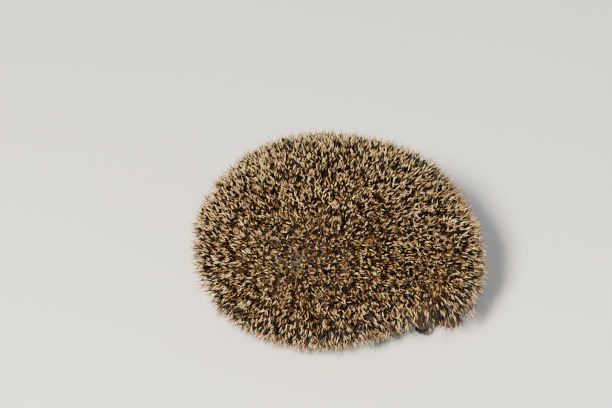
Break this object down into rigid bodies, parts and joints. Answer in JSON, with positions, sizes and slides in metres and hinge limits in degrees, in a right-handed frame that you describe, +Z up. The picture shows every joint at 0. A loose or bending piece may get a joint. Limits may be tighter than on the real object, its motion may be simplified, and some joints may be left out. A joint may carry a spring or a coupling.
{
  "type": "hedgehog",
  "caption": "Still life-size hedgehog, crouched and half curled with its spiny back drawn down over face and feet, resting on belly and paws.",
  "frame": {"origin": "on the floor, under the middle of the whole animal's bounding box", "axes": "+Z up; +X from the rump towards the head end, the animal's longest way; the head is turned to -Y"},
  "size_m": [0.1862, 0.1548, 0.1164],
  "materials": {
    "spiny_coat": "close-set banded spines, cream at the tip over a dark brown band",
    "belly_fur": "coarse brown fur",
    "face_fur": "short dark brown fur",
    "nose_skin": "moist black skin",
    "eye": "glossy near-black eye",
    "paw_skin": "short-furred brown paws with pale claws"
  },
  "bodies": {
    "root": {"head": "spiny_coat", "neck": "spiny_coat", "trunk": "spiny_coat", "belly": "belly_fur", "muzzle": "face_fur", "nose": "nose_skin", "eye_left": "eye", "eye_right": "eye", "ear_left": "face_fur", "ear_right": "face_fur", "tail": "belly_fur", "foreleg_right": "paw_skin", "foreleg_left": "paw_skin", "hindleg_right": "paw_skin", "hindleg_left": "paw_skin"}
  },
  "joints": []
}
